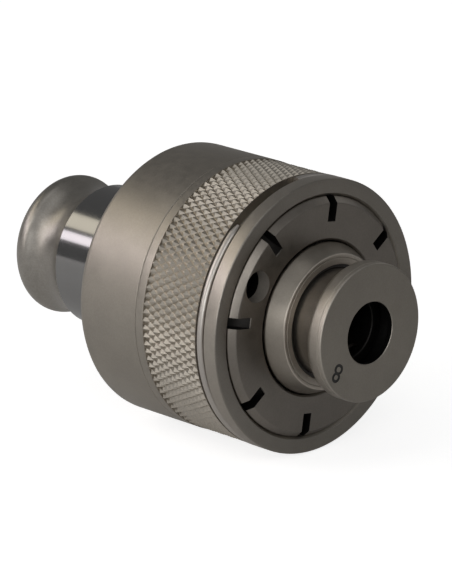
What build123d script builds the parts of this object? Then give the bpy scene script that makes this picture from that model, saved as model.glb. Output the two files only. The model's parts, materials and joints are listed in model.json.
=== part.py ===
from build123d import *
import math
import os

# Tapping collet with an overload clutch. Lengths in millimetres, angles in degrees.
# The tool's axis is X and the tap points to +X. The origin is on the axis at the gauge face,
# where the body seats on the machine's chuck. Angles about the axis start at the top (+Z)
# and grow towards -Y.

# Fits: radial play of turning and sliding pairs, of threads, and of pieces that only pass
running_play = 0.03
sliding_play = 0.05
thread_play = 0.04
passing_play = 0.45
washer_play = 0.2
end_play = 0.05
seat_gap = 0.02
edge_break = 0.25
bore_chamfer = 0.2

# Tap shank: the round part, its square end and the depth of its socket
tap_shank_diameter = 8.0
tap_square = 6.3
tap_square_length = 9.0
tap_square_bottom = 0.5
square_relief_play = 0.05
square_relief_length = 1.5

# Walls from the tap outwards to the body's outside
nose_tube_wall = 1.4
nose_recess_width = 2.1
hub_wall = 1.35
ball_diameter = 3.2
ball_margin = 0.7
flange_play = 0.25
drive_pin_diameter = 2.5
drive_pin_rise = 0.2
spigot_wall = 1.6
sleeve_lap = 1.25

# Lengths from the gauge face to the nut, one piece after another
housing_floor = 3.0
rear_washer_thickness = 1.0
flange_thickness = 3.6
ball_lift = 0.03
ball_seat_depth = 1.43
pressure_ring_thickness = 4.4
disc_spring_stack = 4.6
thrust_washer_thickness = 1.0
nut_thickness = 6.25
nut_projection = 0.65

# Rear housing and its seam with the knurled sleeve
rear_edge_chamfer = 0.7
seam_distance = 10.7
seam_width = 0.3
seam_depth = 0.6
spigot_length = 4.7

# Shank with its lock groove and rounded end
shank_diameter = 19.0
shank_length = 23.5
groove_setback = 6.55
groove_depth = 1.12
bead_setback = 2.8
bead_drop = 0.1
bead_radius = 2.0
end_radius = 3.8
shank_bore_diameter = 10.6
shank_bore_chamfer = 0.5
web_distance = 10.0
web_thickness = 2.0

# Knurled sleeve: the knurled band, the rim and the bore that carries the nut
knurl_rear_margin = 1.25
knurl_front_margin = 3.58
knurl_count = 104
knurl_row_spacing = 0.95
knurl_inset = 0.05
knurl_depth = 0.35
knurl_backing = 0.3
nut_thread_step = 0.55
nut_thread_play = 0.05
rim_chamfer = 0.3
rim_bore_chamfer = 0.35

# Lock ring, open between its two ends; eight flats stand for the round wire
wire_diameter = 1.24
wire_flats = 8
wire_setback = 2.75
wire_inset = 0.03
wire_side_play = 0.1
wire_start_angle = 41.0
wire_end_angle = 362.0

# Adjusting nut
nut_bore_play = 1.25
nut_front_chamfer = 0.8
nut_bore_chamfer = 0.5
nut_rear_chamfer = 0.3
slot_count = 8
slot_start_angle = 35.5
slot_width = 1.4
slot_cutter_diameter = 8.0
slot_depth = 2.6
slot_length = 3.2
screw_hole_inset = 2.8
screw_hole_angle = 59.5
screw_hole_diameter = 4.1
lock_screw_diameter = 4.0
lock_screw_length = 3.0
lock_screw_socket = 2.0
lock_screw_socket_depth = 1.6

# Disc springs
disc_spring_count = 4
disc_spring_thickness = 0.9

# Clutch: balls in the pressure ring over detents in the spindle's flange
ball_count = 3
detent_count = 12
detent_depth = 0.6
detent_half_angle = 60.0
drive_pin_count = 4
drive_pin_angle = 45.0

# Spindle
hub_projection = 3.1
hub_ring_step = 0.5
hub_ring_setback = 0.3
hub_ring_play = 0.2
hub_ring_land = 0.35
journal_diameter = 12.0
stub_diameter = 8.0
bush_wall = 1.2
bush_setback = 0.2

# Rear retaining screw and washer
screw_diameter = 6.0
screw_length = 8.0
screw_head_height = 5.0
screw_socket = 5.0
screw_socket_depth = 3.0
retaining_washer_thickness = 0.9

# Nose of the spindle, which carries the release sleeve
nose_recess_depth = 9.5
nose_tube_projection = 3.0
circlip_setback = 0.3
circlip_thickness = 0.65
circlip_play = 0.1
circlip_groove_depth = 0.5
circlip_groove_play = 0.05
circlip_gap_angle = 40.0

# Release sleeve
sleeve_travel = 2.5
sleeve_flange_diameter = 18.0
sleeve_flange_length = 2.66
sleeve_back_chamfer = 0.7
sleeve_front_chamfer = 0.3
sleeve_neck_drop = 0.5
sleeve_collar_length = 1.5
sleeve_front_wall = 0.86
sleeve_mouth_play = 0.05
sleeve_mouth_chamfer = 0.12
cam_slope = 0.22

# Balls that grip the tap, and the spring behind the release sleeve
tap_ball_count = 3
tap_ball_diameter = 1.8
tap_ball_setback = 1.6
tap_ball_lip = 0.35
tap_ball_lip_diameter = 1.4
tap_ball_start_angle = 90.0
coil_wire_width = 0.8
coil_wire_height = 0.7
coil_turns = 3.5

# Radii that follow, from the tap outwards
tap_bore = tap_shank_diameter / 2
nose_tube = tap_bore + nose_tube_wall
nose_recess = nose_tube + nose_recess_width
hub = nose_recess + hub_wall
ball_radius = ball_diameter / 2
ball_circle = hub + ball_margin + ball_radius
flange = ball_circle + ball_radius + ball_margin
drive_pin_circle = flange + flange_play + drive_pin_diameter / 2
cavity = drive_pin_circle + drive_pin_rise
spigot = cavity + spigot_wall
body_radius = spigot + sleeve_lap
nut_thread = cavity + nut_thread_step
sleeve_bore = nut_thread + nut_thread_play
nut_bore = hub + nut_bore_play
spring_bore = hub + passing_play
hub_ring_seat = hub - hub_ring_step
hub_ring_edge = nut_bore - hub_ring_play
shank_radius = shank_diameter / 2
journal = journal_diameter / 2
stub = stub_diameter / 2
shank_bore = shank_bore_diameter / 2
screw_hole_circle = nut_thread - screw_hole_inset
collar = nose_recess - sliding_play
neck = nose_recess - sleeve_neck_drop
knurl_crown = body_radius - knurl_inset
knurl_root = knurl_crown - knurl_depth
knurl_seat = knurl_root - knurl_backing

# Places along the axis that follow
flange_rear = housing_floor + rear_washer_thickness
flange_front = flange_rear + flange_thickness
ball_centre = flange_front + ball_lift + ball_radius
ring_rear = ball_centre + ball_radius - ball_seat_depth
ring_front = ring_rear + pressure_ring_thickness
washer_rear = ring_front + disc_spring_stack
nut_rear = washer_rear + thrust_washer_thickness
nut_face = nut_rear + nut_thickness
rim_face = nut_face - nut_projection
spigot_front = seam_distance + spigot_length
knurl_rear = seam_distance + knurl_rear_margin
knurl_front = rim_face - knurl_front_margin
pin_rear = ring_rear - detent_depth - ball_lift - edge_break
web_front = -web_distance
web_rear = web_front - web_thickness
journal_end = web_front + passing_play
stub_end = web_rear - 2 * end_play
retaining_washer_rear = stub_end - retaining_washer_thickness
hub_ring_rear = nut_face - hub_ring_setback
hub_front = rim_face + hub_projection
nose_floor = hub_front - nose_recess_depth
tube_front = hub_front + nose_tube_projection
tap_ball_place = tube_front - tap_ball_setback
circlip_rear = hub_front - circlip_setback - circlip_thickness
collar_front = circlip_rear - end_play
collar_rear = collar_front - sleeve_collar_length
nose_cavity_front = tube_front + sleeve_travel + 2 * end_play
sleeve_front = nose_cavity_front + sleeve_front_wall
sleeve_back = sleeve_front - sleeve_flange_length


def arc(start, end, centre):
    """The shorter arc from start to end about centre."""
    middle = ((start[0] + end[0]) / 2 - centre[0], (start[1] + end[1]) / 2 - centre[1])
    stretch = math.dist(start, centre) / math.hypot(*middle)
    return ThreePointArc(start, (centre[0] + middle[0] * stretch, centre[1] + middle[1] * stretch), end)


def turned(points, arcs=None):
    """A solid turned about X from (x, radius) points; arcs gives a stretch's number its centre."""
    edges = []
    for number, start in enumerate(points):
        end = points[(number + 1) % len(points)]
        if arcs and number in arcs:
            edges.append(arc(start, end, arcs[number]))
        else:
            edges.append(Line(start, end))
    return revolve(make_face(edges), Axis.X)


def tube(rear, front, inner_radius, outer_radius):
    """A plain ring about X."""
    return turned([(rear, inner_radius), (front, inner_radius), (front, outer_radius), (rear, outer_radius)])


def rod(rear, front, radius):
    """A plain round bar on the X axis."""
    return turned([(rear, 0), (front, 0), (front, radius), (rear, radius)])


def around(shape, count, first_angle=0.0):
    """Copies of a shape, evenly spaced about X."""
    return [Rot(X=first_angle + number * 360 / count) * shape for number in range(count)]


def hexagon(rear, front, across_flats):
    """A hexagonal bar on the X axis."""
    section = RegularPolygon(across_flats / 2, 6, major_radius=False)
    return Pos(X=rear) * Rot(Y=90) * extrude(section, amount=front - rear)


def make_shank_housing():
    """Shank, lock groove, rounded end and rear housing in one piece."""
    bead_centre = (-shank_length + bead_setback, shank_radius - bead_drop - bead_radius)
    # The end's arc is tangent to the end face and to the bead
    end_place = -shank_length + end_radius
    end_drop = math.sqrt((end_radius - bead_radius) ** 2 - (end_place - bead_centre[0]) ** 2)
    end_centre = (end_place, bead_centre[1] - end_drop)
    stretch = end_radius / (end_radius - bead_radius)
    bead_start = tuple(e + (b - e) * stretch for e, b in zip(end_centre, bead_centre))
    # The groove's arc is tangent to the bead
    groove_floor = shank_radius - groove_depth
    groove_place = -shank_length + groove_setback
    rise = groove_floor - bead_centre[1]
    run = groove_place - bead_centre[0]
    groove_radius = (run ** 2 + rise ** 2 - bead_radius ** 2) / (2 * (bead_radius - rise))
    groove_centre = (groove_place, groove_floor + groove_radius)
    share = bead_radius / (bead_radius + groove_radius)
    bead_end = tuple(b + (g - b) * share for b, g in zip(bead_centre, groove_centre))
    groove_reach = math.sqrt(groove_radius ** 2 - (groove_centre[1] - shank_radius) ** 2)
    bush_seat = journal + running_play + bush_wall + seat_gap
    web_hole = stub + passing_play / 2
    seam_rear = seam_distance - seam_width
    outline = [
        (-shank_length + shank_bore_chamfer, shank_bore),
        (-shank_length, shank_bore + shank_bore_chamfer),
        (-shank_length, end_centre[1]),
        bead_start,
        bead_end,
        (groove_place + groove_reach, shank_radius),
        (0, shank_radius),
        (0, body_radius - rear_edge_chamfer),
        (rear_edge_chamfer, body_radius),
        (seam_rear - edge_break, body_radius),
        (seam_rear, body_radius - edge_break),
        (seam_rear, body_radius - seam_depth),
        (seam_distance, body_radius - seam_depth),
        (seam_distance, spigot),
        (spigot_front, spigot),
        (spigot_front, cavity),
        (housing_floor, cavity),
        (housing_floor, bush_seat),
        (web_front, bush_seat),
        (web_front, web_hole),
        (web_rear, web_hole),
        (web_rear, shank_bore),
    ]
    centres = {
        2: end_centre,
        3: bead_centre,
        4: groove_centre,
    }
    body = turned(outline, centres)
    seat = Pos(Z=drive_pin_circle) * rod(pin_rear, spigot_front, drive_pin_diameter / 2 + seat_gap)
    return body - around(seat, drive_pin_count, drive_pin_angle)


def make_knurl():
    """A ring with a diamond knurl: rows of pyramids, each row half a pitch round from the last."""
    rows = round((knurl_front - knurl_rear) / knurl_row_spacing)
    row_places = [knurl_rear + (knurl_front - knurl_rear) * row / rows for row in range(rows + 1)]

    def corner(row, turn):
        """A pyramid's tip or the foot beside it, which take turns along a row and across the rows."""
        radius = knurl_crown if (row + turn) % 2 else knurl_root
        angle = math.pi * turn / knurl_count
        return (row_places[row], -radius * math.sin(angle), radius * math.cos(angle))

    faces = []
    for row in range(rows + 1):
        for turn in range((row + 1) % 2, 2 * knurl_count, 2):
            for across in (row - 1, row + 1):
                if 0 <= across <= rows:
                    for side in (turn - 1, turn + 1):
                        feet = [corner(row, turn), corner(row, side), corner(across, turn)]
                        faces.append(Face(Wire.make_polygon(feet, close=True)))
    for row in (0, rows):
        outside = Wire.make_polygon([corner(row, turn) for turn in range(2 * knurl_count)], close=True)
        face_plane = Plane(origin=(row_places[row], 0, 0), z_dir=(1, 0, 0))
        faces.append(Face(outside, [Wire.make_circle(knurl_seat, face_plane)]))
    core = rod(knurl_rear, knurl_front, knurl_seat)
    return Solid(Shell(faces + core.faces().filter_by(GeomType.CYLINDER)))


def make_knurled_sleeve():
    """Front housing: knurled band, wire groove, rim and nut bore."""
    groove_half = wire_diameter / 2 + wire_side_play
    groove_front = rim_face - wire_setback + groove_half
    groove_rear = rim_face - wire_setback - groove_half
    groove_bottom = body_radius - wire_diameter - 2 * wire_inset
    counterbore = spigot + seat_gap
    outline = [
        (seam_distance, counterbore),
        (seam_distance, body_radius - edge_break),
        (seam_distance + edge_break, body_radius),
        (knurl_rear, body_radius),
        (knurl_rear, knurl_seat),
        (knurl_front, knurl_seat),
        (knurl_front, body_radius),
        (groove_rear, body_radius),
        (groove_rear, groove_bottom),
        (groove_front, groove_bottom),
        (groove_front, body_radius),
        (rim_face - rim_chamfer, body_radius),
        (rim_face, body_radius - rim_chamfer),
        (rim_face, sleeve_bore + rim_bore_chamfer),
        (rim_face - rim_bore_chamfer, sleeve_bore),
        (spigot_front + end_play, sleeve_bore),
        (spigot_front + end_play, counterbore),
    ]
    return turned(outline) + make_knurl()


def make_lock_ring():
    """Wire, bent to an open ring in the sleeve's groove."""
    wire_radius = wire_diameter / 2
    ring_radius = body_radius - wire_inset - wire_radius
    section = RegularPolygon(wire_radius, wire_flats, major_radius=False, rotation=180 / wire_flats)
    section = Pos(rim_face - wire_setback, ring_radius) * section
    ring = revolve(section, Axis.X, revolution_arc=wire_end_angle - wire_start_angle)
    return Rot(X=wire_start_angle + 90) * ring


def make_adjusting_nut():
    """Slotted nut, with the threaded hole of its lock screw."""
    outline = [
        (nut_rear, nut_bore),
        (nut_rear, nut_thread - nut_rear_chamfer),
        (nut_rear + nut_rear_chamfer, nut_thread),
        (nut_face - nut_front_chamfer, nut_thread),
        (nut_face, nut_thread - nut_front_chamfer),
        (nut_face, nut_bore + nut_bore_chamfer),
        (nut_face - nut_bore_chamfer, nut_bore),
    ]
    cutter_radius = slot_cutter_diameter / 2
    cutter_rise = cutter_radius - slot_depth
    cutter_height = nut_thread - slot_length + math.sqrt(cutter_radius ** 2 - cutter_rise ** 2)
    cutter = Cylinder(cutter_radius, slot_width, rotation=(90, 0, 0))
    slot = Pos(nut_face + cutter_rise, 0, cutter_height) * cutter
    screw_top = nut_rear + seat_gap + lock_screw_length
    hole = rod(nut_rear, screw_top, lock_screw_diameter / 2 + thread_play)
    hole += rod(screw_top, nut_face, screw_hole_diameter / 2)
    hole = Rot(X=screw_hole_angle) * Pos(Z=screw_hole_circle) * hole
    return turned(outline) - around(slot, slot_count, slot_start_angle) - hole


def make_nut_lock_screw():
    """Set screw that locks the nut against the thrust washer."""
    rear = nut_rear + seat_gap
    front = rear + lock_screw_length
    screw = rod(rear, front, lock_screw_diameter / 2)
    screw -= hexagon(front - lock_screw_socket_depth, front, lock_screw_socket)
    return Rot(X=screw_hole_angle) * Pos(Z=screw_hole_circle) * screw


def make_thrust_washer():
    """Washer between the nut and the disc springs."""
    return tube(washer_rear, nut_rear, spring_bore, nut_thread - washer_play)


def make_disc_spring(number):
    """One coned disc spring; neighbours face opposite ways."""
    height = (disc_spring_stack - 2 * seat_gap) / disc_spring_count
    rear = ring_front + seat_gap + number * height
    cone = height - disc_spring_thickness
    inner_start = rear + cone if number % 2 else rear
    outer_start = rear if number % 2 else rear + cone
    outer = cavity - washer_play
    return turned([
        (inner_start, spring_bore),
        (inner_start + disc_spring_thickness, spring_bore),
        (outer_start + disc_spring_thickness, outer),
        (outer_start, outer),
    ])


def make_pressure_ring():
    """Ring that holds the clutch balls and slides on the drive pins."""
    ring = tube(ring_rear, ring_front, hub + running_play, cavity - running_play)
    keyway = Pos(Z=drive_pin_circle) * rod(ring_rear, ring_front, drive_pin_diameter / 2 + sliding_play)
    pocket = Pos(Z=ball_circle) * rod(ring_rear, ball_centre + ball_radius, ball_radius + seat_gap)
    ring -= around(keyway, drive_pin_count, drive_pin_angle)
    return ring - around(pocket, ball_count)


def make_clutch_balls():
    """The clutch balls, just clear of the flange, as when the clutch slips."""
    ball = Pos(ball_centre, 0, ball_circle) * Sphere(ball_radius)
    return around(ball, ball_count)


def make_drive_pins():
    """Round keys, half in the housing's wall and half in the pressure ring."""
    pin = Pos(Z=drive_pin_circle) * rod(pin_rear, ring_front - end_play, drive_pin_diameter / 2)
    return around(pin, drive_pin_count, drive_pin_angle)


def make_spindle():
    """Tap spindle: clutch flange, hub, nose tube, tap bore and square socket."""
    clip_seat = nose_recess + circlip_groove_depth
    clip_seat_rear = circlip_rear - circlip_groove_play
    clip_seat_front = circlip_rear + circlip_thickness + circlip_groove_play
    square_top = tap_square_bottom + tap_square_length
    outline = [
        (stub_end, 0),
        (stub_end, stub),
        (journal_end, stub),
        (journal_end, journal),
        (flange_rear, journal),
        (flange_rear, flange),
        (flange_front, flange),
        (flange_front, hub),
        (hub_ring_rear, hub),
        (hub_ring_rear, hub_ring_seat),
        (hub_front, hub_ring_seat),
        (hub_front, nose_recess),
        (clip_seat_front, nose_recess),
        (clip_seat_front, clip_seat),
        (clip_seat_rear, clip_seat),
        (clip_seat_rear, nose_recess),
        (nose_floor, nose_recess),
        (nose_floor, nose_tube),
        (tube_front, nose_tube),
        (tube_front, tap_bore + bore_chamfer),
        (tube_front - bore_chamfer, tap_bore),
        (square_top, tap_bore),
        (square_top, 0),
    ]
    square = Pos(X=square_top - tap_square_length / 2) * Box(tap_square_length, tap_square, tap_square)
    relief_radius = tap_square / 2 + square_relief_play
    relief = rod(tap_square_bottom - square_relief_length, tap_square_bottom, relief_radius)
    screw_tip = retaining_washer_rear + screw_length
    thread = rod(stub_end, screw_tip + end_play, screw_diameter / 2 + thread_play)
    body = turned(outline) - square - relief - thread
    detents = around(make_detent(), detent_count)
    return body - detents - around(make_tap_ball_hole(), tap_ball_count, tap_ball_start_angle)


def make_hub_ring():
    """Cone ring pressed on the hub's stepped front end, inside the nut's bore."""
    rear = hub_ring_rear + seat_gap
    seat = hub_ring_seat + seat_gap
    return turned([
        (rear, seat),
        (rear, hub_ring_edge),
        (rear + hub_ring_land, hub_ring_edge),
        (hub_front, hub),
        (hub_front, seat),
    ])


def make_detent():
    """Conical seat in the flange's front, drilled at the top of the ball circle."""
    half_angle = math.radians(detent_half_angle)
    below_ball = ball_radius / math.sin(half_angle) - ball_radius
    depth = detent_depth + below_ball + seat_gap
    cone = turned([
        (flange_front - depth, 0),
        (flange_front + depth, 2 * depth * math.tan(half_angle)),
        (flange_front + depth, 0),
    ])
    return Pos(Z=ball_circle) * cone


def make_tap_ball_hole():
    """Radial hole for one gripping ball, with a lip that keeps the ball in."""
    hole = rod(tap_bore + tap_ball_lip, nose_tube + seat_gap, tap_ball_diameter / 2 + running_play)
    lip = rod(tap_bore - tap_ball_lip, tap_bore + tap_ball_lip, tap_ball_lip_diameter / 2)
    return Pos(X=tap_ball_place) * Rot(Y=-90) * (hole + lip)


def make_tap_ball(number):
    """One gripping ball, resting against the tap's round shank."""
    height = tap_bore + tap_ball_diameter / 2 + seat_gap
    ball = Pos(tap_ball_place, 0, height) * Sphere(tap_ball_diameter / 2)
    return Rot(X=tap_ball_start_angle + number * 360 / tap_ball_count) * ball


def make_rear_bush():
    """Bronze bush in the shank."""
    inner = journal + running_play
    return tube(web_front + bush_setback, housing_floor - bush_setback, inner, inner + bush_wall)


def make_rear_thrust_washer():
    """Washer between the housing's floor and the spindle's flange."""
    return tube(housing_floor, flange_rear, journal + washer_play, flange)


def make_retaining_washer():
    """Washer on the end of the spindle's stub, behind the shank's web."""
    inner = screw_diameter / 2 + sliding_play
    return tube(retaining_washer_rear, stub_end, inner, shank_bore - washer_play)


def make_retaining_screw():
    """Socket screw that holds the spindle from the rear."""
    head_rear = retaining_washer_rear - screw_head_height
    screw = rod(head_rear, retaining_washer_rear, shank_bore - 2 * washer_play)
    screw += rod(retaining_washer_rear, retaining_washer_rear + screw_length, screw_diameter / 2)
    return screw - hexagon(head_rear, head_rear + screw_socket_depth, screw_socket)


def make_release_sleeve():
    """Necked nose collar with the cam that lets the gripping balls go."""
    tube_bore = nose_tube + sliding_play
    ball_top = tap_bore + tap_ball_diameter + 3 * seat_gap
    cam_start = tap_ball_place - (ball_top - tube_bore) / cam_slope
    cam_end_radius = tube_bore + (nose_cavity_front - cam_start) * cam_slope
    mouth = tap_bore + sleeve_mouth_play
    rim = sleeve_flange_diameter / 2
    outline = [
        (collar_rear, tube_bore),
        (collar_rear, collar),
        (collar_front, collar),
        (collar_front, neck),
        (sleeve_back, neck),
        (sleeve_back, rim - sleeve_back_chamfer),
        (sleeve_back + sleeve_back_chamfer, rim),
        (sleeve_front - sleeve_front_chamfer, rim),
        (sleeve_front, rim - sleeve_front_chamfer),
        (sleeve_front, mouth + sleeve_mouth_chamfer),
        (sleeve_front - sleeve_mouth_chamfer, mouth),
        (nose_cavity_front, mouth),
        (nose_cavity_front, cam_end_radius),
        (cam_start, tube_bore),
    ]
    return turned(outline)


def make_release_spring():
    """Flat-wire coil between the recess floor and the release sleeve."""
    middle = (nose_recess + nose_tube) / 2
    height = collar_rear - nose_floor - 2 * seat_gap - coil_wire_height
    path = Helix(pitch=height / coil_turns, height=height, radius=middle)
    start = Plane(origin=path @ 0, z_dir=path % 0, x_dir=(1, 0, 0))
    section = start * Rectangle(coil_wire_width, coil_wire_height)
    coil = sweep(section, path=path, is_frenet=True)
    return Pos(X=nose_floor + seat_gap + coil_wire_height / 2) * Rot(Y=90) * coil


def make_sleeve_circlip():
    """Inner circlip in the hub, ahead of the release sleeve's collar."""
    outer = nose_recess + circlip_groove_depth - seat_gap
    clip = tube(circlip_rear, circlip_rear + circlip_thickness, neck + circlip_play, outer)
    gap_width = 2 * outer * math.sin(math.radians(circlip_gap_angle / 2))
    gap = Box(4 * circlip_thickness, gap_width, outer, align=(Align.CENTER, Align.CENTER, Align.MAX))
    return clip - Pos(X=circlip_rear) * gap


os.makedirs("parts", exist_ok=True)

nodes = {
    "shank_housing": make_shank_housing(),
    "knurled_sleeve": make_knurled_sleeve(),
    "lock_ring": make_lock_ring(),
    "adjusting_nut": make_adjusting_nut(),
    "nut_lock_screw": make_nut_lock_screw(),
    "thrust_washer": make_thrust_washer(),
    "pressure_ring": make_pressure_ring(),
    "clutch_balls": make_clutch_balls(),
    "drive_pins": make_drive_pins(),
    "spindle": make_spindle(),
    "hub_ring": make_hub_ring(),
    "rear_bush": make_rear_bush(),
    "rear_thrust_washer": make_rear_thrust_washer(),
    "retaining_washer": make_retaining_washer(),
    "retaining_screw": make_retaining_screw(),
    "release_sleeve": make_release_sleeve(),
    "release_spring": make_release_spring(),
    "sleeve_circlip": make_sleeve_circlip(),
}
for number in range(disc_spring_count):
    nodes[f"disc_spring_{number + 1}"] = make_disc_spring(number)
for number in range(tap_ball_count):
    nodes[f"tap_ball_{number + 1}"] = make_tap_ball(number)

for name, shape in nodes.items():
    solids = shape if isinstance(shape, list) else shape.solids()
    export_step(Compound(solids), f"parts/{name}.step")
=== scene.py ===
import json
import math

import bmesh
import bpy
from mathutils import Matrix, Vector


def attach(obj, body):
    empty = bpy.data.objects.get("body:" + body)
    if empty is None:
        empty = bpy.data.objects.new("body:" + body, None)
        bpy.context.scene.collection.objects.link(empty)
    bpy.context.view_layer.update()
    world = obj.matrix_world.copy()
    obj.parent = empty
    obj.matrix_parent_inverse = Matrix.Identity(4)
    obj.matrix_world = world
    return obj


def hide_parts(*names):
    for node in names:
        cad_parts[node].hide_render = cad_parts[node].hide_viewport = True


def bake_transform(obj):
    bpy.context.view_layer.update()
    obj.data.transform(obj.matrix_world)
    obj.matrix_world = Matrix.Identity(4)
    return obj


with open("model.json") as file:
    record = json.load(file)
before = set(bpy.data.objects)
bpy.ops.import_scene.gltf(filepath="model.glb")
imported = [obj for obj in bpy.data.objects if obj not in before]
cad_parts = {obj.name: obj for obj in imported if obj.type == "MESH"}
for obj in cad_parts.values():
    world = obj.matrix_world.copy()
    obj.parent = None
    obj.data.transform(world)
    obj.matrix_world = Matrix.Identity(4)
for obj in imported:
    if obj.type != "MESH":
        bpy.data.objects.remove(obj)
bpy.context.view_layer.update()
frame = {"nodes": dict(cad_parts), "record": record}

scene = bpy.context.scene

# Shapes are written in millimetres, with x along the axis towards the nose and r from the axis.
# Angles about the axis are in degrees from +Z towards -Y. Materials and stage are in metres.
MM = 0.001


# ---------------------------------------------------------------- materials

# Noise of the metals: scale per metre, detail and roughness
NOISES = {
    "marks": (9000.0, 3.0, 0.7),
    "fine": (14000.0, 2.0, 0.6),
    "slow": (160.0, 3.0, 0.55),
    "spots": (900.0, 4.0, 0.6),
    "blast": (4200.0, 2.0, 0.65),
}
SLOW_SHARE, SPOTS_SHARE, BLAST_SHARE = 0.4, 0.25, 0.35
SPOTS_LOW, SPOTS_HIGH = 0.3, 0.7
ROUGH_SPREAD, ROUGH_GRAIN = 0.12, 0.03
BUMP_STRENGTH, BUMP_DEPTH = 0.5, 0.00001


def material_tree(name):
    mat = bpy.data.materials.new(name)
    mat.use_nodes = True
    mat.node_tree.nodes.clear()
    return mat, mat.node_tree


def math_node(tree, op, a, b=None):
    n = tree.nodes.new("ShaderNodeMath")
    n.operation = op
    for i, v in enumerate((a, b)):
        if v is None:
            continue
        if isinstance(v, (int, float)):
            n.inputs[i].default_value = v
        else:
            tree.links.new(v, n.inputs[i])
    return n.outputs[0]


def add(tree, a, b):
    return math_node(tree, "ADD", a, b)


def times(tree, a, b):
    return math_node(tree, "MULTIPLY", a, b)


def noise(tree, vector, kind):
    n = tree.nodes.new("ShaderNodeTexNoise")
    for key, v in zip(("Scale", "Detail", "Roughness"), NOISES[kind]):
        n.inputs[key].default_value = v
    tree.links.new(vector, n.inputs["Vector"])
    return n.outputs["Fac"]


def remap(tree, value, low, high, to_low, to_high):
    n = tree.nodes.new("ShaderNodeMapRange")
    n.clamp = True
    ends = {"From Min": low, "From Max": high, "To Min": to_low, "To Max": to_high}
    for key, v in ends.items():
        n.inputs[key].default_value = v
    tree.links.new(value, n.inputs["Value"])
    return n.outputs[0]


def mix_colour(tree, fac, a, b):
    n = tree.nodes.new("ShaderNodeMix")
    n.data_type = "RGBA"
    n.inputs["A"].default_value = (*a, 1)
    n.inputs["B"].default_value = (*b, 1)
    tree.links.new(fac, n.inputs["Factor"])
    return n.outputs["Result"]


def object_coords(tree):
    """The object's own coordinates, as a vector and as x, y and z."""
    coords = tree.nodes.new("ShaderNodeTexCoord").outputs["Object"]
    split = tree.nodes.new("ShaderNodeSeparateXYZ")
    tree.links.new(coords, split.inputs[0])
    return coords, *split.outputs


def metal(name, colour, rough, dull=0.82, grain=0.35, turned=0.5, blotch=0.05, metallic=1.0):
    """Turned or blasted metal: fine grain, tool marks round the axis, slow colour drift.

    dull is the worn patches' share of the colour, grain and turned are the heights of the
    grain and of the marks, and a larger blotch gives the patches softer edges.
    """
    mat, tree = material_tree(name)
    out = tree.nodes.new("ShaderNodeOutputMaterial")
    bsdf = tree.nodes.new("ShaderNodeBsdfPrincipled")
    tree.links.new(bsdf.outputs[0], out.inputs[0])

    coords, x, y, z = object_coords(tree)
    radius = math_node(tree, "SQRT", add(tree, times(tree, y, y), times(tree, z, z)))
    turned_coords = tree.nodes.new("ShaderNodeCombineXYZ")
    tree.links.new(x, turned_coords.inputs[0])
    tree.links.new(radius, turned_coords.inputs[1])
    marks = noise(tree, turned_coords.outputs[0], "marks")
    fine, slow, spots, blast = [noise(tree, coords, k) for k in ("fine", "slow", "spots", "blast")]

    cloud = add(tree, times(tree, slow, SLOW_SHARE), times(tree, spots, SPOTS_SHARE))
    tone = add(tree, cloud, times(tree, blast, BLAST_SHARE))
    patch = remap(tree, tone, 0.5 - blotch * 3, 0.5 + blotch * 3, 0.0, 1.0)
    worn = tuple(c * dull for c in colour)
    tree.links.new(mix_colour(tree, patch, worn, colour), bsdf.inputs["Base Color"])

    patchy = remap(tree, spots, SPOTS_LOW, SPOTS_HIGH,
                   rough * (1 - ROUGH_SPREAD), rough * (1 + ROUGH_SPREAD))
    grainy = remap(tree, fine, SPOTS_LOW, SPOTS_HIGH, -ROUGH_GRAIN, ROUGH_GRAIN)
    tree.links.new(add(tree, patchy, grainy), bsdf.inputs["Roughness"])
    bsdf.inputs["Metallic"].default_value = metallic

    height = add(tree, times(tree, fine, grain), times(tree, marks, turned))
    bump = tree.nodes.new("ShaderNodeBump")
    bump.inputs["Strength"].default_value = BUMP_STRENGTH
    bump.inputs["Distance"].default_value = BUMP_DEPTH
    tree.links.new(height, bump.inputs["Height"])
    tree.links.new(bump.outputs[0], bsdf.inputs["Normal"])
    return mat


# Outside, nickel plating in lit and shaded copies of one finish: the knurl, rim cylinder, nose and
# front land are lighter copies as painted light, and the rim face, nut and neck darker copies as
# painted shade; roughness and marks differ too
M_BODY = metal("satin_nickel", (0.400, 0.368, 0.322), 0.44)
M_LIT_KNURL = metal("painted_light_knurl_nickel", (0.560, 0.515, 0.447), 0.32, turned=0.2)
M_LIT_RIM = metal("painted_light_rim_nickel", (0.440, 0.404, 0.356), 0.40)
M_SHADED_FACE = metal("painted_shade_face_nickel", (0.335, 0.309, 0.274), 0.38)
M_SHADED_NUT = metal("painted_shade_nut_nickel", (0.288, 0.262, 0.232), 0.38, turned=0.8)
M_HUB = metal("hub_nickel", (0.372, 0.338, 0.293), 0.38, turned=0.8)
M_LIT_LAND = metal("painted_light_land", (0.630, 0.575, 0.505), 0.5, turned=0.8)
M_LIT_NOSE = metal("painted_light_nose_nickel", (0.520, 0.480, 0.424), 0.45, turned=0.8)
M_NECK_SHADE = metal("painted_shade_neck_nickel", (0.26, 0.235, 0.205), 0.42, turned=0.8)
# Bare steel
M_SHANK = metal("ground_steel", (0.280, 0.277, 0.273), 0.13, dull=0.95, grain=0.05, turned=0.12)
M_GROOVE = metal("groove_satin", (0.385, 0.363, 0.330), 0.36, blotch=0.03, turned=0.6)
M_WIRE = metal("wire_steel", (0.570, 0.535, 0.495), 0.38, dull=0.93, grain=0.0, turned=0.0)
# Pieces inside
M_SPRING = metal("phosphated_steel", (0.12, 0.116, 0.112), 0.5, grain=0.8, turned=0.0)
M_HARD = metal("hardened_steel", (0.42, 0.42, 0.425), 0.25)
M_BALL = metal("bearing_steel", (0.58, 0.58, 0.585), 0.08, dull=0.97, grain=0.02, turned=0.0)
M_BLACK = metal("black_oxide", (0.035, 0.035, 0.038), 0.45, grain=0.7, turned=0.1)
M_BRONZE = metal("bronze", (0.42, 0.27, 0.13), 0.35)
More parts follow.
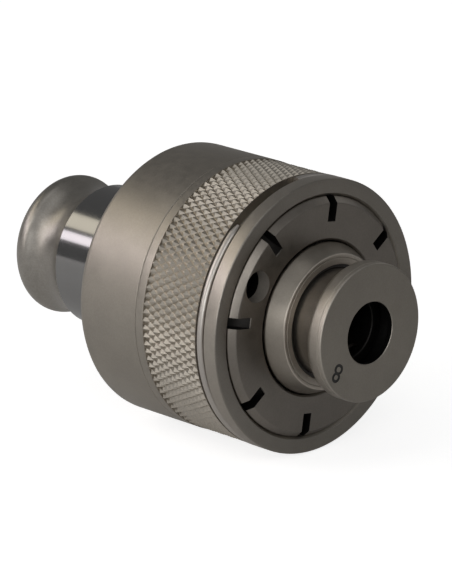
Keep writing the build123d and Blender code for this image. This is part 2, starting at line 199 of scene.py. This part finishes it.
# Walls of bores, slots and holes and the cut number, painted dark as painted shade, and the screw
# hole's mouth, a lighter copy as painted light
M_BORE_SHADE = metal("painted_shade_bore", (0.14, 0.128, 0.115), 0.42)
M_DEEP_SHADE = metal("painted_deep_shade", (0.035, 0.033, 0.031), 0.5)
M_LIT_WALL = metal("painted_light_wall", (0.26, 0.235, 0.205), 0.7, metallic=0.3)
M_NUMBER_SHADE = metal("painted_shade_number", (0.035, 0.034, 0.032), 0.6, metallic=0.0, turned=0.0)

SLOT_OF = {
    "housing_steel": M_BODY,
    "sleeve_steel": M_LIT_KNURL,
    "nut_steel": M_SHADED_NUT,
    "spindle_steel": M_HUB,
    "nose_steel": M_LIT_NOSE,
    "wire_steel": M_WIRE,
    "spring_steel": M_SPRING,
    "hardened_steel": M_HARD,
    "ball_steel": M_BALL,
    "screw_steel": M_BLACK,
    "bronze": M_BRONZE,
}
for part in frame["record"]["subparts"]:
    for slot in frame["nodes"][part["node"]].material_slots:
        slot.link = "OBJECT"
        slot.material = SLOT_OF[part["material_slot"]]


# ---------------------------------------------------------------- tools for shapes

def arc_points(centre, radius, start, end, n):
    """Points on an arc in the (x, r) plane; angles in degrees from +x."""
    angles = [math.radians(start + (end - start) * i / n) for i in range(n + 1)]
    return [(centre[0] + radius * math.cos(a), centre[1] + radius * math.sin(a)) for a in angles]


def softened(points, steps=6):
    """Corners given as (x, r, size) become small curves; plain (x, r) corners stay sharp."""
    out = []
    for i, (x, r, *size) in enumerate(points):
        if not size:
            out.append((x, r))
            continue
        here = Vector((x, r))
        before = Vector(points[i - 1][:2]) - here
        after = Vector(points[(i + 1) % len(points)][:2]) - here
        cut = min(size[0], before.length * 0.49, after.length * 0.49)
        start = here + before.normalized() * cut
        end = here + after.normalized() * cut
        for k in range(steps + 1):
            t = k / steps
            q = start * (1 - t) ** 2 + here * (2 * t * (1 - t)) + end * t ** 2
            out.append((q.x, q.y))
    return out


def round_x(angle, r):
    """The point at radius r about X, by an angle in radians from +Z towards -Y."""
    return Vector((0, -r * math.sin(angle), r * math.cos(angle)))


def object_from(name, bm, mats):
    """Turns a bmesh in millimetres into an object in metres."""
    for v in bm.verts:
        v.co *= MM
    bmesh.ops.recalc_face_normals(bm, faces=bm.faces)
    me = bpy.data.meshes.new(name)
    bm.to_mesh(me)
    bm.free()
    for m in mats:
        me.materials.append(m)
    ob = bpy.data.objects.new(name, me)
    scene.collection.objects.link(ob)
    return ob


SHARP = 35.0


def smooth(me, sharp=SHARP):
    """Smooth shading, with edges above the given angle in degrees kept sharp."""
    me.shade_smooth()
    me.set_sharp_from_angle(angle=math.radians(sharp))


def mesh_object(name, bm, mats, body, sharp=SHARP):
    ob = object_from(name, bm, mats)
    smooth(ob.data, sharp)
    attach(ob, body)
    return ob


def lathe(bm, profile, segments, mats, paint=None):
    """Turns a closed profile of (x, r) points about X; paint(x, r) gives a face's material."""
    rings = []
    for x, r in profile:
        if r == 0:
            rings.append([bm.verts.new((x, 0, 0))])
        else:
            ring = [Vector((x, 0, 0)) + round_x(2 * math.pi * k / segments, r)
                    for k in range(segments)]
            rings.append([bm.verts.new(co) for co in ring])
    for i in range(len(rings)):
        j = (i + 1) % len(rings)
        a, b = rings[i], rings[j]
        if len(a) == 1 and len(b) == 1:
            continue
        middle = ((profile[i][0] + profile[j][0]) / 2, (profile[i][1] + profile[j][1]) / 2)
        index = mats.index(paint(*middle)) if paint else 0
        for k in range(segments):
            l = (k + 1) % segments
            if len(a) == 1:
                f = bm.faces.new((a[0], b[l], b[k]))
            elif len(b) == 1:
                f = bm.faces.new((a[k], a[l], b[0]))
            else:
                f = bm.faces.new((a[k], a[l], b[l], b[k]))
            f.material_index = index


def turned_piece(name, profile, segments, mats, paint, body):
    bm = bmesh.new()
    lathe(bm, profile, segments, mats, paint)
    return mesh_object(name, bm, mats, body)


def boolean(ob, cutter):
    """Cuts the cutter out of the object, with the cutter's material on the new faces."""
    mod = ob.modifiers.new("cut", "BOOLEAN")
    mod.operation = "DIFFERENCE"
    mod.object = cutter
    mod.solver = "EXACT"
    mod.material_mode = "TRANSFER"
    bpy.context.view_layer.update()
    graph = bpy.context.evaluated_depsgraph_get()
    me = bpy.data.meshes.new_from_object(ob.evaluated_get(graph))
    ob.modifiers.clear()
    old = ob.data
    ob.data = me
    bpy.data.meshes.remove(old)
    smooth(me)
    bpy.data.objects.remove(cutter)


def circle_outline(radius, n):
    angles = [2 * math.pi * k / n for k in range(n)]
    return [(radius * math.cos(a), radius * math.sin(a)) for a in angles]


def prism(bm, outline, matrix, depth):
    """A straight prism: a closed outline in its own XY plane, pushed along its own Z."""
    low = [bm.verts.new(matrix @ Vector((*p, 0))) for p in outline]
    high = [bm.verts.new(matrix @ Vector((*p, depth))) for p in outline]
    bm.faces.new(low[::-1])
    bm.faces.new(high)
    n = len(outline)
    for i in range(n):
        j = (i + 1) % n
        bm.faces.new((low[i], low[j], high[j], high[i]))


def cut_prisms(ob, mat, outline, places, depth):
    """Cuts one prism at each of the places, with the given material on the walls."""
    bm = bmesh.new()
    for matrix in places:
        prism(bm, outline, matrix, depth)
    boolean(ob, object_from("cutter", bm, [mat]))


def place(angle, x, height, rot=None):
    """A place at x and at a height above the axis, turned about X by the angle."""
    m = Matrix.Rotation(math.radians(angle), 4, "X") @ Matrix.Translation((x, 0, height))
    return m @ rot if rot else m


ALONG_X = Matrix.Rotation(math.radians(90), 4, "Y")
ACROSS_X = Matrix.Rotation(math.radians(90), 4, "X")


# ---------------------------------------------------------------- shank and rear housing

BODY_R, SHANK_R = 18.0, 9.5
GROOVE_END = -13.60
SEAM_REAR, SEAM_FRONT, SEAM_BOTTOM = 10.54, 10.57, 17.4
JOINT_X = 10.7

# The rounded end, the bead and the lock groove are three arcs that touch without a kink
bead_c, bead_r = (-20.7, 7.4), 2.0
end_r, end_x = 3.8, -19.7
groove_x, groove_bottom = -16.95, 8.38
end_c = (end_x, bead_c[1] - math.sqrt((end_r - bead_r) ** 2 - (end_x - bead_c[0]) ** 2))
run, rise = groove_x - bead_c[0], groove_bottom - bead_c[1]
groove_r = (run ** 2 + rise ** 2 - bead_r ** 2) / (2 * (bead_r - rise))
groove_c = (groove_x, groove_bottom + groove_r)
a_end = math.degrees(math.atan2(bead_c[1] - end_c[1], bead_c[0] - end_c[0]))
a_bead = math.degrees(math.atan2(groove_c[1] - bead_c[1], groove_c[0] - bead_c[0]))
half_width = math.sqrt(groove_r ** 2 - (groove_c[1] - SHANK_R) ** 2)
a_out = math.degrees(math.atan2(SHANK_R - groove_c[1], half_width))
shank_curve = [
    *arc_points(end_c, end_r, 180, a_end, 14),
    *arc_points(bead_c, bead_r, a_end, a_bead, 14)[1:],
    *arc_points(groove_c, groove_r, a_bead - 180, a_out, 22)[1:],
]
rear_profile = softened([
    # chamfer of the screw's recess, then the three arcs
    (-22.95, 5.3, 0.08), (-23.5, 5.85, 0.08), *shank_curve,
    # shank, its undercut and the housing's back
    (GROOVE_END, SHANK_R), (-0.35, SHANK_R), (-0.35, 9.25, 0.05), (0.0, 9.25, 0.05),
    (0.0, BODY_R, 0.9),
    # seam and spigot
    (SEAM_REAR, BODY_R, 0.16), (SEAM_REAR, SEAM_BOTTOM), (JOINT_X, SEAM_BOTTOM),
    (JOINT_X, 16.75), (15.4, 16.75, 0.3), (15.4, 15.15, 0.3),
    # clutch chamber, seat of the bush and the screw's recess
    (3.0, 15.15, 0.3), (3.0, 7.25, 0.2), (-10, 7.25), (-10, 4.225, 0.2),
    (-12, 4.225, 0.2), (-12, 5.3, 0.2),
])


def paint_rear(x, r):
    # The screw's recess is painted dark, as painted shade
    if x < -12.0 and r < 5.4:
        return M_BORE_SHADE
    if -13.66 < x < 0.02 and 9.2 < r < 9.6:
        return M_SHANK
    return M_GROOVE if x <= -13.66 else M_BODY


rear = turned_piece("rear_body", rear_profile, 256, [M_BODY, M_SHANK, M_BORE_SHADE, M_GROOVE],
                    paint_rear, "housing")
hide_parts("shank_housing")


# ---------------------------------------------------------------- knurled sleeve

RIM_X, NUT_BORE = 25.0, 15.76
KNURL_REAR, KNURL_FRONT = 11.95, 21.35
KNURL_ROOT, KNURL_CROWN, KNURL_CORE = 17.60, 17.95, 17.45
RING_REAR, RING_FRONT, RING_BOTTOM = 21.38, 22.92, 16.7

sleeve_profile = softened([
    # joint with the rear housing, and the seam
    (JOINT_X, 16.8), (JOINT_X, SEAM_BOTTOM), (SEAM_FRONT, SEAM_BOTTOM),
    (SEAM_FRONT, BODY_R, 0.12),
    # band that carries the knurl
    (KNURL_REAR, BODY_R, 0.03), (KNURL_REAR, KNURL_CORE), (KNURL_FRONT, KNURL_CORE),
    (KNURL_FRONT, 17.97, 0.02),
    # groove of the wire ring, then the rim
    (RING_REAR, 17.97, 0.02), (RING_REAR, RING_BOTTOM, 0.1), (RING_FRONT, RING_BOTTOM, 0.1),
    (RING_FRONT, BODY_R, 0.12), (RIM_X, BODY_R, 0.24), (RIM_X, 16.08, 0.06),
    # thread for the nut
    (24.66, NUT_BORE, 0.06), (15.5, NUT_BORE), (15.5, 16.8),
])
sleeve_mats = [M_BODY, M_LIT_RIM, M_LIT_KNURL, M_SHADED_FACE]


def paint_sleeve(x, r):
    # The rim's front face is a darker copy as painted shade, its cylinder a lighter copy as
    # painted light
    if x > 24.9 and r > 15.9:
        return M_SHADED_FACE
    return M_LIT_RIM if x > 22.9 else M_BODY


# Knurl: rows of pyramids with small flat tips, each row half a pitch round from the last
TEETH, ROWS = 104, 10
SHOULDER_SHARE, SHOULDER_RISE = 0.42, 0.64
TIP_SHARE, TIP_DROP = 0.16, 0.012
SHOULDER_R = KNURL_ROOT + (KNURL_CROWN - KNURL_ROOT) * SHOULDER_RISE
# Share of the pyramid's foot that each level spans, and the level's radius
LEVELS = [(1.0, KNURL_ROOT), (SHOULDER_SHARE, SHOULDER_R), (TIP_SHARE, KNURL_CROWN - TIP_DROP)]
WELD = 0.0005


def knurl_point(row, step, r):
    x = KNURL_REAR + (KNURL_FRONT - KNURL_REAR) * row / ROWS
    return Vector((x, 0, 0)) + round_x(math.pi * step / TEETH, r)


def knurl_mesh():
    cells = bmesh.new()
    for row in range(ROWS + 1):
        for step in range((row + 1) % 2, 2 * TEETH, 2):
            corners = [(row, step - 1), (max(row - 1, 0), step),
                       (row, step + 1), (min(row + 1, ROWS), step)]
            loops = [[cells.verts.new(knurl_point(row + (a - row) * share,
                                                  step + (b - step) * share, r))
                      for a, b in corners] for share, r in LEVELS]
            for low, high in zip(loops, loops[1:]):
                for k in range(4):
                    l = (k + 1) % 4
                    cells.faces.new((low[k], low[l], high[l], high[k]))
            cells.faces.new(loops[-1])
            if row in (0, ROWS):
                # The band's ends cut these pyramids in half, and the cut is closed here
                k = 1 if row == 0 else 3
                foot = [cells.verts.new(knurl_point(row, step + side, KNURL_CORE))
                        for side in (-1, 1)]
                cells.faces.new([foot[0], loops[0][0], loops[1][0], loops[2][0], loops[2][k],
                                 loops[2][2], loops[1][2], loops[0][2], foot[1]])
    bmesh.ops.remove_doubles(cells, verts=cells.verts, dist=WELD)
    me = bpy.data.meshes.new("knurl")
    cells.to_mesh(me)
    cells.free()
    return me


bm = bmesh.new()
lathe(bm, sleeve_profile, 320, sleeve_mats, paint_sleeve)
before = len(bm.faces)
knurl = knurl_mesh()
bm.from_mesh(knurl)
bpy.data.meshes.remove(knurl)
bm.faces.ensure_lookup_table()
# The knurl takes a lighter copy of the nickel, as painted light
for f in bm.faces[before:]:
    f.material_index = sleeve_mats.index(M_LIT_KNURL)
sleeve = mesh_object("knurled_body", bm, sleeve_mats, "housing", 20)
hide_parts("knurled_sleeve")


# ---------------------------------------------------------------- lock ring

# Round wire with a square end at the top and a narrowed end at the side
WIRE_RADIUS, RING_RADIUS, RING_X = 0.565, 17.43, 21.96
RING_START, RING_END, RING_STEPS, WIRE_SIDES = 38.5, 362.0, 260, 20
NARROW_SHARE, NARROW_ANGLE = 0.55, 4.0

bm = bmesh.new()
rings = []
for i in range(RING_STEPS + 1):
    phi = RING_START + (RING_END - RING_START) * i / RING_STEPS
    widened = (1 - NARROW_SHARE) * (phi - RING_START) / NARROW_ANGLE
    r = WIRE_RADIUS * min(1.0, NARROW_SHARE + widened)
    out = round_x(math.radians(phi), 1)
    centre = Vector((RING_X, 0, 0)) + out * RING_RADIUS
    section = [centre + Vector((x, 0, 0)) + out * y for x, y in circle_outline(r, WIRE_SIDES)]
    rings.append([bm.verts.new(co) for co in section])
for a, b in zip(rings, rings[1:]):
    for k in range(WIRE_SIDES):
        l = (k + 1) % WIRE_SIDES
        bm.faces.new((a[k], a[l], b[l], b[k]))
bm.faces.new(rings[0])
bm.faces.new(rings[-1])
wire = mesh_object("snap_ring", bm, [M_WIRE], "housing")
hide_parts("lock_ring")


# ---------------------------------------------------------------- adjusting nut

NUT_X, NUT_R = 25.65, 15.7
SLOTS, SLOT_ANGLE, SLOT_WIDTH, SLOT_DEPTH, SLOT_REACH, SLOT_DISC = 8, 35.5, 1.4, 2.6, 3.2, 4.0
SCREW_ANGLE, SCREW_HEIGHT = 59.5, 12.9

nut_profile = softened([
    (19.4, 10.1, 0.1), (19.4, 15.4, 0.1), (19.7, NUT_R, 0.1), (24.85, NUT_R, 0.1),
    (NUT_X, 14.9, 0.12), (NUT_X, 10.35, 0.1), (25.4, 10.1),
])
# The nut is a darker copy of the nickel, as painted shade
nut = turned_piece("slotted_nut", nut_profile, 256, [M_SHADED_NUT, M_DEEP_SHADE, M_LIT_WALL], None,
                   "adjusting_nut")
# Slots as a disc cutter leaves them: deepest at the nut's edge, and shallower inwards
above = SLOT_DISC - SLOT_DEPTH
disc_height = NUT_R - SLOT_REACH + math.sqrt(SLOT_DISC ** 2 - above ** 2)
half_back = Matrix.Translation((0, 0, -SLOT_WIDTH / 2))
slot_angles = [SLOT_ANGLE + 360 / SLOTS * k for k in range(SLOTS)]
slot_places = [place(a, NUT_X + above, disc_height, ACROSS_X) @ half_back for a in slot_angles]
# The slot walls are painted near black, as painted shade
cut_prisms(nut, M_DEEP_SHADE, circle_outline(SLOT_DISC, 96), slot_places, SLOT_WIDTH)
# Screw hole: a bottom part painted near black as painted shade, and a mouth a trace wider whose
# wall is a lighter copy as painted light
deep = place(SCREW_ANGLE, 18.9, SCREW_HEIGHT, ALONG_X)
cut_prisms(nut, M_DEEP_SHADE, circle_outline(2.04, 48), [deep], 5.0)
mouth = place(SCREW_ANGLE, 23.75, SCREW_HEIGHT, ALONG_X)
cut_prisms(nut, M_LIT_WALL, circle_outline(2.05, 64), [mouth], 3.0)
# The faces left by the cuts on the front itself drop the painted shade of the slots and take the
# nut's darker copy
mats = nut.data.materials
for f in nut.data.polygons:
    if f.center.x > 25.53 * MM and mats[f.material_index] == M_DEEP_SHADE:
        f.material_index = mats.find(M_SHADED_NUT.name)
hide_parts("adjusting_nut")


# ---------------------------------------------------------------- spindle and its cone ring

HUB_X = 28.1
BORE_R, SOCKET_REAR, SOCKET_SIDE, SOCKET_DEPTH = 4.0, 0.5, 6.3, 9.0
TAP_BALLS, TAP_BALL_X, TAP_BALL_ANGLE = 3, 29.5, 90
FLANGE_X, DETENTS, DETENT_HEIGHT = 7.6, 12, 11.15
DETENT_DEPTH, CONE_R, CONE_SIDES = 0.8675, 3.0, 40

spindle_profile = softened([
    # rear journal and clutch flange
    (-12.1, 3.04), (-12.1, 4.0, 0.15), (-9.55, 4.0), (-9.55, 6.0, 0.2), (4.0, 6.0),
    (4.0, 13.45, 0.2), (FLANGE_X, 13.45, 0.2), (FLANGE_X, 8.85, 0.1),
    # stepped seat of the cone ring, and the front land
    (25.35, 8.85, 0.1), (25.35, 8.35), (HUB_X, 8.35, 0.06), (HUB_X, 7.5, 0.12),
    # circlip groove and chamber of the release sleeve
    (27.85, 7.5), (27.85, 8.0), (27.1, 8.0), (27.1, 7.5), (18.6, 7.5, 0.1),
    # nose tube with the tap's bore
    (18.6, 5.4, 0.1), (31.1, 5.4, 0.2), (31.1, BORE_R, 0.25), (9.5, BORE_R),
    # start of the square socket, and the rear bore for the retaining screw
    (9.5, 3.2), (0.5, 3.2), (-1.0, 3.2), (-1.0, 0.0), (-4.95, 0.0), (-4.95, 3.04),
], 5)


def paint_spindle(x, r):
    # The front land is a lighter copy as painted light; the nose tube, chamber and tap bore are
    # painted near black and the rear bore dark, as painted shade
    if x > 28.02 and 7.5 < r < 8.5:
        return M_LIT_LAND
    nose_tube = x > 27.0 and r < 5.5
    chamber = 18.5 < x < 28.0 and 5.3 < r < 8.1
    tap_bore = x > 9.0 and r < 4.3
    if nose_tube or chamber or tap_bore:
        return M_DEEP_SHADE
    return M_BORE_SHADE if x > -1.1 and r < 4.3 else M_HUB


spindle = turned_piece("tap_spindle", spindle_profile, 192, [M_HUB, M_BORE_SHADE, M_DEEP_SHADE, M_LIT_LAND],
                       paint_spindle, "spindle")
h = SOCKET_SIDE / 2
square = [(-h, -h), (h, -h), (h, h), (-h, h)]
# The socket's walls are painted dark, as painted shade
cut_prisms(spindle, M_BORE_SHADE, square, [place(0, SOCKET_REAR, 0, ALONG_X)], SOCKET_DEPTH)
# Holes for the three gripping balls, each with a narrower seat whose wall is painted dark as
# painted shade
for mat, radius, height in ((M_HUB, 0.93, 4.35), (M_BORE_SHADE, 0.7, 3.6)):
    ball_places = [place(TAP_BALL_ANGLE + 360 / TAP_BALLS * k, TAP_BALL_X, height)
                   for k in range(TAP_BALLS)]
    cut_prisms(spindle, mat, circle_outline(radius, 40), ball_places, 1.3)
# Detents: cones in the flange's front face
bm = bmesh.new()
for k in range(DETENTS):
    m = place(360 / DETENTS * k, FLANGE_X - DETENT_DEPTH, DETENT_HEIGHT, ALONG_X)
    tip = bm.verts.new(m @ Vector((0, 0, 0)))
    ring = [bm.verts.new(m @ Vector((*p, CONE_R / math.sqrt(3))))
            for p in circle_outline(CONE_R, CONE_SIDES)]
    for i in range(CONE_SIDES):
        bm.faces.new((tip, ring[i], ring[(i + 1) % CONE_SIDES]))
    bm.faces.new(ring)
boolean(spindle, object_from("cutter", bm, [M_HUB]))
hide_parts("spindle")

cone_profile = softened([
    (25.37, 8.37, 0.05), (25.37, 9.9, 0.12), (25.72, 9.9, 0.12), (HUB_X, 8.85, 0.3),
    (HUB_X, 8.37, 0.06),
])
# Its front land is the lighter copy, as painted light
cone = turned_piece("cone_ring", cone_profile, 256, [M_HUB, M_LIT_LAND],
                    lambda x, r: M_LIT_LAND if x > 28.02 else M_HUB, "spindle")
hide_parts("hub_ring")


# ---------------------------------------------------------------- release sleeve

NOSE_X, NOSE_R, NECK_R = 34.56, 9.0, 7.0

nose_profile = softened([
    # collar, neck and flange with a fine line round it
    (25.6, 5.45, 0.1), (25.6, 7.45, 0.15), (27.1, 7.45, 0.1), (27.1, NECK_R),
    (31.9, NECK_R, 0.12), (31.9, NOSE_R, 0.85),
    (33.80, NOSE_R), (33.86, 8.93), (33.92, NOSE_R), (NOSE_X, NOSE_R, 0.24),
    # mouth, and the cone that presses on the balls
    (NOSE_X, 4.15, 0.10), (34.46, 4.05, 0.05), (33.7, 4.05, 0.08), (33.7, 6.74), (27.78, 5.45),
])


def paint_nose(x, r):
    # The front face takes the body's darker copy and the neck a dark copy, and the inside is
    # painted near black, all as painted shade; the rest is the nose's lighter copy, as painted
    # light
    if x > 34.5:
        return M_BODY
    if 27.0 < x < 32.0 and 6.9 < r < 7.2:
        return M_NECK_SHADE
    return M_DEEP_SHADE if 27.0 < x < 34.45 and r < 6.8 else M_LIT_NOSE


nose = turned_piece("nose_sleeve", nose_profile, 256, [M_LIT_NOSE, M_DEEP_SHADE, M_NECK_SHADE, M_BODY],
                    paint_nose, "release_sleeve")
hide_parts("release_sleeve")

# Plain size number, cut into the nose face, with a dark colour painted in the cut as painted shade
NUMBER, NUMBER_SIZE, NUMBER_DEPTH, NUMBER_WEIGHT = "8", 3.42, 0.1, 0.00003
NUMBER_PLACE = (NOSE_X, -5.94, -3.94)

text = bpy.data.curves.new("number", "FONT")
text.body = NUMBER
text.size = NUMBER_SIZE * MM
text.align_x = "CENTER"
text.align_y = "CENTER"
text.extrude = NUMBER_DEPTH * MM
text.offset = NUMBER_WEIGHT
text_ob = bpy.data.objects.new("number", text)
scene.collection.objects.link(text_ob)
bpy.context.view_layer.update()
graph = bpy.context.evaluated_depsgraph_get()
number = bpy.data.meshes.new_from_object(text_ob.evaluated_get(graph))
bpy.data.objects.remove(text_ob)
xs, ys = [v.co.x for v in number.vertices], [v.co.y for v in number.vertices]
middle = Vector((min(xs) + max(xs), min(ys) + max(ys), 0)) / 2
# The number's foot points to the bore, and it leans as the face's marking does
up = Vector((0, -0.45, -0.893)).normalized()
forward = Vector((1, 0, 0))
stand = Matrix((up.cross(forward), up, forward)).transposed().to_4x4()
stand.translation = Vector(NUMBER_PLACE) * MM
number.transform(stand @ Matrix.Translation(-middle))
number.materials.clear()
number.materials.append(M_NUMBER_SHADE)
cutter = bpy.data.objects.new("cutter", number)
scene.collection.objects.link(cutter)
boolean(nose, cutter)


# ---------------------------------------------------------------- springs

def sprung(name, node_name):
    """A spring in its solid's shape, copied from its node with the spring's material."""
    node = frame["nodes"][node_name]
    me = node.data.copy()
    me.transform(node.matrix_world)
    me.materials.clear()
    me.materials.append(M_SPRING)
    ob = bpy.data.objects.new(name, me)
    scene.collection.objects.link(ob)
    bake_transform(ob)
    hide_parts(node_name)


sprung("coil_spring", "release_spring")
for k in range(1, 5):
    sprung(f"cone_spring_{k}", f"disc_spring_{k}")


# ---------------------------------------------------------------- floor and world

# The floor lies just below the housing
FLOOR_Z, FLOOR_HALF = -0.0182, 3.0
# The floor's own colour, the strength that the camera sees added to it, and the strength of a
# painted pool of light that only reflections in the metal show
FLOOR_COLOUR, FLOOR_SEEN, FLOOR_PAINTED_POOL = 0.60, 0.79, 0.21
# The painted pool of light lies on the -X -Y side and fades to nothing across the line x + y = 0
POOL_FADE_HALF = 0.08
WORLD_LEVEL, WORLD_SEEN = 0.165, 1.0


def floor_material(name):
    """Pale surface that keeps shadows, lifted towards white where the camera sees it, with a
    painted pool of light on one side that only reflections show.
    """
    mat, tree = material_tree(name)
    out = tree.nodes.new("ShaderNodeOutputMaterial")
    base = tree.nodes.new("ShaderNodeBsdfDiffuse")
    base.inputs[0].default_value = (FLOOR_COLOUR, FLOOR_COLOUR, FLOOR_COLOUR, 1)
    glow = tree.nodes.new("ShaderNodeEmission")
    path = tree.nodes.new("ShaderNodeLightPath").outputs
    shine = math_node(tree, "MAXIMUM", path["Is Glossy Ray"], path["Is Transmission Ray"])
    _, x, y, _ = object_coords(tree)
    # Painted pool of light: full on the -X -Y side, none on the other
    side = remap(tree, add(tree, x, y), POOL_FADE_HALF, -POOL_FADE_HALF, 0.0, 1.0)
    seen = times(tree, path["Is Camera Ray"], FLOOR_SEEN)
    painted_pool = times(tree, times(tree, shine, side), FLOOR_PAINTED_POOL)
    tree.links.new(add(tree, seen, painted_pool), glow.inputs[1])
    both = tree.nodes.new("ShaderNodeAddShader")
    tree.links.new(base.outputs[0], both.inputs[0])
    tree.links.new(glow.outputs[0], both.inputs[1])
    tree.links.new(both.outputs[0], out.inputs[0])
    return mat


corners = [(-FLOOR_HALF, -FLOOR_HALF, FLOOR_Z), (FLOOR_HALF, -FLOOR_HALF, FLOOR_Z),
           (FLOOR_HALF, FLOOR_HALF, FLOOR_Z), (-FLOOR_HALF, FLOOR_HALF, FLOOR_Z)]
floor_mesh = bpy.data.meshes.new("floor")
floor_mesh.from_pydata(corners, [], [(0, 1, 2, 3)])
floor_mesh.materials.append(floor_material("floor_white"))
floor = bpy.data.objects.new("floor", floor_mesh)
scene.collection.objects.link(floor)

# A plain grey world for the light, and a white one for the camera
world = bpy.data.worlds.new("studio")
scene.world = world
world.use_nodes = True
tree = world.node_tree
tree.nodes.clear()
mix = tree.nodes.new("ShaderNodeMixShader")
path = tree.nodes.new("ShaderNodeLightPath")
tree.links.new(path.outputs["Is Camera Ray"], mix.inputs[0])
for socket, level in ((1, WORLD_LEVEL), (2, WORLD_SEEN)):
    background = tree.nodes.new("ShaderNodeBackground")
    background.inputs[0].default_value = (1, 1, 1, 1)
    background.inputs[1].default_value = level
    tree.links.new(background.outputs[0], mix.inputs[socket])
out = tree.nodes.new("ShaderNodeOutputWorld")
tree.links.new(mix.outputs[0], out.inputs[0])


# ---------------------------------------------------------------- camera and lamps

CAMERA_PLACE, CAMERA_VIEW = (0.36905, -0.35606, 0.15788), (-0.679, 0.671, -0.2981)
SENSOR_WIDTH, FOCAL_LENGTH, CLIP_START = 36.0, 325.2, 0.01

cam_data = bpy.data.cameras.new("camera")
cam_data.sensor_fit = "HORIZONTAL"
cam_data.sensor_width = SENSOR_WIDTH
cam_data.lens = FOCAL_LENGTH
cam_data.clip_start = CLIP_START
cam = bpy.data.objects.new("camera", cam_data)
cam.location = CAMERA_PLACE
cam.rotation_euler = Vector(CAMERA_VIEW).to_track_quat("-Z", "Y").to_euler()
scene.collection.objects.link(cam)
scene.camera = cam

LAMP_DISTANCE = 0.9
WHITE = (1, 1, 1)
# Name, heading from -X towards -Y and rise from the horizon in degrees, width and height in
# metres, radiance, colour
LAMPS = [
    ("key_high", 31, 37.5, 0.60, 0.19, 1.7, (1.0, 0.92, 0.76)),
    ("key_low", 43, 23, 0.60, 0.15, 3.06, (1.0, 0.93, 0.98)),
    ("side_mid", 68, 30, 0.22, 0.35, 2.35, (1.0, 0.95, 0.90)),
    ("bead_low", 65, 11, 0.17, 0.26, 2.7, (1.0, 0.95, 0.93)),
    ("side_low", 92, 14, 0.55, 0.35, 0.55, WHITE),
    ("side_high", 85, 45, 0.55, 0.40, 0.55, WHITE),
    ("front_low", 122, 12, 0.4, 0.3, 3.4, WHITE),
    ("front_mid", 148, 33, 0.40, 0.30, 2.3, WHITE),
    ("top_fill", 60, 78, 0.5, 0.5, 0.5, WHITE),
    ("right_fill", 195, 35, 0.5, 0.4, 0.3, WHITE),
    ("far_fill", 262, 30, 0.5, 0.4, 0.3, WHITE),
    ("back_low", 314, 7, 0.6, 0.12, 0.1, WHITE),
    ("rear_fill", 0, 13, 0.3, 0.3, 0.3, WHITE),
]


def softbox(name, heading, rise, width, height, radiance, colour):
    """A rectangular lamp that faces the object."""
    h, r = math.radians(heading), math.radians(rise)
    away = Vector((-math.cos(h) * math.cos(r), -math.sin(h) * math.cos(r), math.sin(r)))
    data = bpy.data.lights.new(name, "AREA")
    data.shape = "RECTANGLE"
    data.size = width
    data.size_y = height
    data.energy = radiance * math.pi * width * height
    data.color = colour
    ob = bpy.data.objects.new(name, data)
    ob.location = away * LAMP_DISTANCE
    ob.rotation_euler = away.to_track_quat("Z", "Y").to_euler()
    scene.collection.objects.link(ob)


for lamp in LAMPS:
    softbox(*lamp)

scene.view_settings.view_transform = "Standard"
